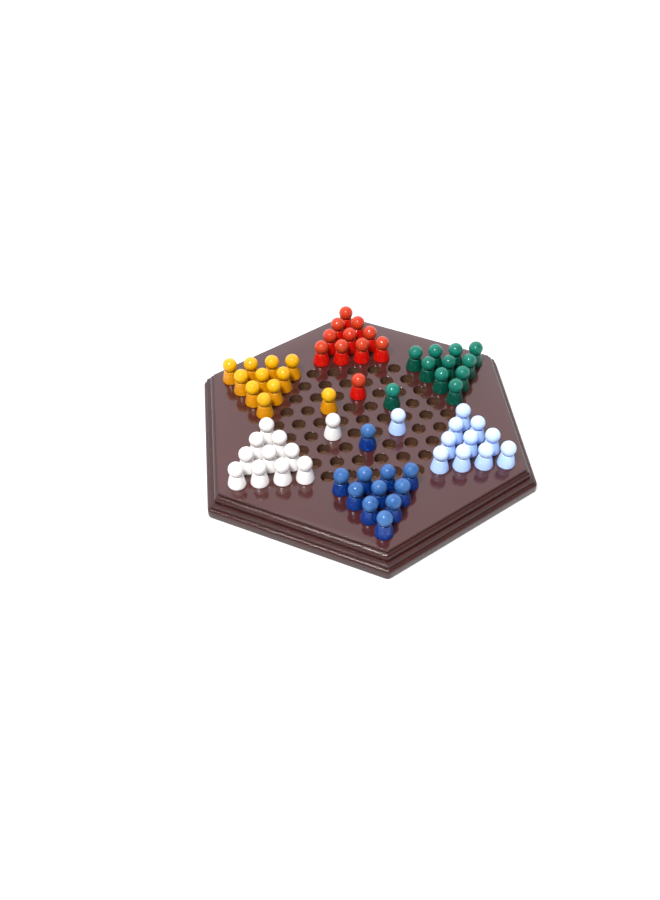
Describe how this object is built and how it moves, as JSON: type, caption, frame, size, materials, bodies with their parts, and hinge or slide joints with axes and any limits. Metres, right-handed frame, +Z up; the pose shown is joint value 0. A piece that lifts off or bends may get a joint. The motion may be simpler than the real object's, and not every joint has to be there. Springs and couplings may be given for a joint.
{
  "type": "chinese checkers board",
  "caption": "Hexagonal wooden star-shaped peg game board with a two-step moulded edge and lift-out ball-headed pegs in six colours.",
  "frame": {"origin": "on the table, under the middle of the board", "axes": "+Z up out of the board, +Y towards the board corner behind the red point of the star, +X towards the flat side between the green and light blue points"},
  "size_m": [0.2214, 0.2544, 0.037],
  "materials": {
    "lacquered_board": "gloss dark red-brown lacquer",
    "felt": "matte felt",
    "red_paint": "semi-gloss paint",
    "green_paint": "semi-gloss paint",
    "light_blue_paint": "semi-gloss paint",
    "blue_paint": "semi-gloss paint",
    "white_paint": "semi-gloss paint",
    "yellow_paint": "semi-gloss paint"
  },
  "bodies": {
    "board": {"moulded_base": "lacquered_board", "drilled_top_panel": "lacquered_board", "felt_feet": "felt"},
    "red_peg_1": {"red_peg_1": "red_paint"},
    "red_peg_2": {"red_peg_2": "red_paint"},
    "red_peg_3": {"red_peg_3": "red_paint"},
    "red_peg_4": {"red_peg_4": "red_paint"},
    "red_peg_5": {"red_peg_5": "red_paint"},
    "red_peg_6": {"red_peg_6": "red_paint"},
    "red_peg_7": {"red_peg_7": "red_paint"},
    "red_centre_peg": {"red_centre_peg": "red_paint"},
    "red_tip_pegs": {"red_tip_pegs": "red_paint"},
    "green_peg_1": {"green_peg_1": "green_paint"},
    "green_peg_2": {"green_peg_2": "green_paint"},
    "green_peg_3": {"green_peg_3": "green_paint"},
    "green_peg_4": {"green_peg_4": "green_paint"},
    "green_peg_5": {"green_peg_5": "green_paint"},
    "green_peg_6": {"green_peg_6": "green_paint"},
    "green_peg_7": {"green_peg_7": "green_paint"},
    "green_centre_peg": {"green_centre_peg": "green_paint"},
    "green_tip_pegs": {"green_tip_pegs": "green_paint"},
    "light_blue_peg_1": {"light_blue_peg_1": "light_blue_paint"},
    "light_blue_peg_2": {"light_blue_peg_2": "light_blue_paint"},
    "light_blue_peg_3": {"light_blue_peg_3": "light_blue_paint"},
    "light_blue_peg_4": {"light_blue_peg_4": "light_blue_paint"},
    "light_blue_peg_5": {"light_blue_peg_5": "light_blue_paint"},
    "light_blue_peg_6": {"light_blue_peg_6": "light_blue_paint"},
    "light_blue_peg_7": {"light_blue_peg_7": "light_blue_paint"},
    "light_blue_centre_peg": {"light_blue_centre_peg": "light_blue_paint"},
    "light_blue_tip_pegs": {"light_blue_tip_pegs": "light_blue_paint"},
    "blue_peg_1": {"blue_peg_1": "blue_paint"},
    "blue_peg_2": {"blue_peg_2": "blue_paint"},
    "blue_peg_3": {"blue_peg_3": "blue_paint"},
    "blue_peg_4": {"blue_peg_4": "blue_paint"},
    "blue_peg_5": {"blue_peg_5": "blue_paint"},
    "blue_peg_6": {"blue_peg_6": "blue_paint"},
    "blue_peg_7": {"blue_peg_7": "blue_paint"},
    "blue_centre_peg": {"blue_centre_peg": "blue_paint"},
    "blue_tip_pegs": {"blue_tip_pegs": "blue_paint"},
    "white_peg_1": {"white_peg_1": "white_paint"},
    "white_peg_2": {"white_peg_2": "white_paint"},
    "white_peg_3": {"white_peg_3": "white_paint"},
    "white_peg_4": {"white_peg_4": "white_paint"},
    "white_peg_5": {"white_peg_5": "white_paint"},
    "white_peg_6": {"white_peg_6": "white_paint"},
    "white_peg_7": {"white_peg_7": "white_paint"},
    "white_centre_peg": {"white_centre_peg": "white_paint"},
    "white_tip_pegs": {"white_tip_pegs": "white_paint"},
    "yellow_peg_1": {"yellow_peg_1": "yellow_paint"},
    "yellow_peg_2": {"yellow_peg_2": "yellow_paint"},
    "yellow_peg_3": {"yellow_peg_3": "yellow_paint"},
    "yellow_peg_4": {"yellow_peg_4": "yellow_paint"},
    "yellow_peg_5": {"yellow_peg_5": "yellow_paint"},
    "yellow_peg_6": {"yellow_peg_6": "yellow_paint"},
    "yellow_peg_7": {"yellow_peg_7": "yellow_paint"},
    "yellow_centre_peg": {"yellow_centre_peg": "yellow_paint"},
    "yellow_tip_pegs": {"yellow_tip_pegs": "yellow_paint"}
  },
  "joints": [
    {"name": "red_peg_1_lift", "type": "slide", "parent": "board", "child": "red_peg_1", "axis": [0, 0, 1], "range_m": [0, 0.03]},
    {"name": "red_peg_2_lift", "type": "slide", "parent": "board", "child": "red_peg_2", "axis": [0, 0, 1], "range_m": [0, 0.03]},
    {"name": "red_peg_3_lift", "type": "slide", "parent": "board", "child": "red_peg_3", "axis": [0, 0, 1], "range_m": [0, 0.03]},
    {"name": "red_peg_4_lift", "type": "slide", "parent": "board", "child": "red_peg_4", "axis": [0, 0, 1], "range_m": [0, 0.03]},
    {"name": "red_peg_5_lift", "type": "slide", "parent": "board", "child": "red_peg_5", "axis": [0, 0, 1], "range_m": [0, 0.03]},
    {"name": "red_peg_6_lift", "type": "slide", "parent": "board", "child": "red_peg_6", "axis": [0, 0, 1], "range_m": [0, 0.03]},
    {"name": "red_peg_7_lift", "type": "slide", "parent": "board", "child": "red_peg_7", "axis": [0, 0, 1], "range_m": [0, 0.03]},
    {"name": "red_centre_peg_lift", "type": "slide", "parent": "board", "child": "red_centre_peg", "axis": [0, 0, 1], "range_m": [0, 0.03]},
    {"name": "red_tip_pegs_lift", "type": "slide", "parent": "board", "child": "red_tip_pegs", "axis": [0, 0, 1], "range_m": [0, 0.03]},
    {"name": "green_peg_1_lift", "type": "slide", "parent": "board", "child": "green_peg_1", "axis": [0, 0, 1], "range_m": [0, 0.03]},
    {"name": "green_peg_2_lift", "type": "slide", "parent": "board", "child": "green_peg_2", "axis": [0, 0, 1], "range_m": [0, 0.03]},
    {"name": "green_peg_3_lift", "type": "slide", "parent": "board", "child": "green_peg_3", "axis": [0, 0, 1], "range_m": [0, 0.03]},
    {"name": "green_peg_4_lift", "type": "slide", "parent": "board", "child": "green_peg_4", "axis": [0, 0, 1], "range_m": [0, 0.03]},
    {"name": "green_peg_5_lift", "type": "slide", "parent": "board", "child": "green_peg_5", "axis": [0, 0, 1], "range_m": [0, 0.03]},
    {"name": "green_peg_6_lift", "type": "slide", "parent": "board", "child": "green_peg_6", "axis": [0, 0, 1], "range_m": [0, 0.03]},
    {"name": "green_peg_7_lift", "type": "slide", "parent": "board", "child": "green_peg_7", "axis": [0, 0, 1], "range_m": [0, 0.03]},
    {"name": "green_centre_peg_lift", "type": "slide", "parent": "board", "child": "green_centre_peg", "axis": [0, 0, 1], "range_m": [0, 0.03]},
    {"name": "green_tip_pegs_lift", "type": "slide", "parent": "board", "child": "green_tip_pegs", "axis": [0, 0, 1], "range_m": [0, 0.03]},
    {"name": "light_blue_peg_1_lift", "type": "slide", "parent": "board", "child": "light_blue_peg_1", "axis": [0, 0, 1], "range_m": [0, 0.03]},
    {"name": "light_blue_peg_2_lift", "type": "slide", "parent": "board", "child": "light_blue_peg_2", "axis": [0, 0, 1], "range_m": [0, 0.03]},
    {"name": "light_blue_peg_3_lift", "type": "slide", "parent": "board", "child": "light_blue_peg_3", "axis": [0, 0, 1], "range_m": [0, 0.03]},
    {"name": "light_blue_peg_4_lift", "type": "slide", "parent": "board", "child": "light_blue_peg_4", "axis": [0, 0, 1], "range_m": [0, 0.03]},
    {"name": "light_blue_peg_5_lift", "type": "slide", "parent": "board", "child": "light_blue_peg_5", "axis": [0, 0, 1], "range_m": [0, 0.03]},
    {"name": "light_blue_peg_6_lift", "type": "slide", "parent": "board", "child": "light_blue_peg_6", "axis": [0, 0, 1], "range_m": [0, 0.03]},
    {"name": "light_blue_peg_7_lift", "type": "slide", "parent": "board", "child": "light_blue_peg_7", "axis": [0, 0, 1], "range_m": [0, 0.03]},
    {"name": "light_blue_centre_peg_lift", "type": "slide", "parent": "board", "child": "light_blue_centre_peg", "axis": [0, 0, 1], "range_m": [0, 0.03]},
    {"name": "light_blue_tip_pegs_lift", "type": "slide", "parent": "board", "child": "light_blue_tip_pegs", "axis": [0, 0, 1], "range_m": [0, 0.03]},
    {"name": "blue_peg_1_lift", "type": "slide", "parent": "board", "child": "blue_peg_1", "axis": [0, 0, 1], "range_m": [0, 0.03]},
    {"name": "blue_peg_2_lift", "type": "slide", "parent": "board", "child": "blue_peg_2", "axis": [0, 0, 1], "range_m": [0, 0.03]},
    {"name": "blue_peg_3_lift", "type": "slide", "parent": "board", "child": "blue_peg_3", "axis": [0, 0, 1], "range_m": [0, 0.03]},
    {"name": "blue_peg_4_lift", "type": "slide", "parent": "board", "child": "blue_peg_4", "axis": [0, 0, 1], "range_m": [0, 0.03]},
    {"name": "blue_peg_5_lift", "type": "slide", "parent": "board", "child": "blue_peg_5", "axis": [0, 0, 1], "range_m": [0, 0.03]},
    {"name": "blue_peg_6_lift", "type": "slide", "parent": "board", "child": "blue_peg_6", "axis": [0, 0, 1], "range_m": [0, 0.03]},
    {"name": "blue_peg_7_lift", "type": "slide", "parent": "board", "child": "blue_peg_7", "axis": [0, 0, 1], "range_m": [0, 0.03]},
    {"name": "blue_centre_peg_lift", "type": "slide", "parent": "board", "child": "blue_centre_peg", "axis": [0, 0, 1], "range_m": [0, 0.03]},
    {"name": "blue_tip_pegs_lift", "type": "slide", "parent": "board", "child": "blue_tip_pegs", "axis": [0, 0, 1], "range_m": [0, 0.03]},
    {"name": "white_peg_1_lift", "type": "slide", "parent": "board", "child": "white_peg_1", "axis": [0, 0, 1], "range_m": [0, 0.03]},
    {"name": "white_peg_2_lift", "type": "slide", "parent": "board", "child": "white_peg_2", "axis": [0, 0, 1], "range_m": [0, 0.03]},
    {"name": "white_peg_3_lift", "type": "slide", "parent": "board", "child": "white_peg_3", "axis": [0, 0, 1], "range_m": [0, 0.03]},
    {"name": "white_peg_4_lift", "type": "slide", "parent": "board", "child": "white_peg_4", "axis": [0, 0, 1], "range_m": [0, 0.03]},
    {"name": "white_peg_5_lift", "type": "slide", "parent": "board", "child": "white_peg_5", "axis": [0, 0, 1], "range_m": [0, 0.03]},
    {"name": "white_peg_6_lift", "type": "slide", "parent": "board", "child": "white_peg_6", "axis": [0, 0, 1], "range_m": [0, 0.03]},
    {"name": "white_peg_7_lift", "type": "slide", "parent": "board", "child": "white_peg_7", "axis": [0, 0, 1], "range_m": [0, 0.03]},
    {"name": "white_centre_peg_lift", "type": "slide", "parent": "board", "child": "white_centre_peg", "axis": [0, 0, 1], "range_m": [0, 0.03]},
    {"name": "white_tip_pegs_lift", "type": "slide", "parent": "board", "child": "white_tip_pegs", "axis": [0, 0, 1], "range_m": [0, 0.03]},
    {"name": "yellow_peg_1_lift", "type": "slide", "parent": "board", "child": "yellow_peg_1", "axis": [0, 0, 1], "range_m": [0, 0.03]},
    {"name": "yellow_peg_2_lift", "type": "slide", "parent": "board", "child": "yellow_peg_2", "axis": [0, 0, 1], "range_m": [0, 0.03]},
    {"name": "yellow_peg_3_lift", "type": "slide", "parent": "board", "child": "yellow_peg_3", "axis": [0, 0, 1], "range_m": [0, 0.03]},
    {"name": "yellow_peg_4_lift", "type": "slide", "parent": "board", "child": "yellow_peg_4", "axis": [0, 0, 1], "range_m": [0, 0.03]},
    {"name": "yellow_peg_5_lift", "type": "slide", "parent": "board", "child": "yellow_peg_5", "axis": [0, 0, 1], "range_m": [0, 0.03]},
    {"name": "yellow_peg_6_lift", "type": "slide", "parent": "board", "child": "yellow_peg_6", "axis": [0, 0, 1], "range_m": [0, 0.03]},
    {"name": "yellow_peg_7_lift", "type": "slide", "parent": "board", "child": "yellow_peg_7", "axis": [0, 0, 1], "range_m": [0, 0.03]},
    {"name": "yellow_centre_peg_lift", "type": "slide", "parent": "board", "child": "yellow_centre_peg", "axis": [0, 0, 1], "range_m": [0, 0.03]},
    {"name": "yellow_tip_pegs_lift", "type": "slide", "parent": "board", "child": "yellow_tip_pegs", "axis": [0, 0, 1], "range_m": [0, 0.03]}
  ]
}
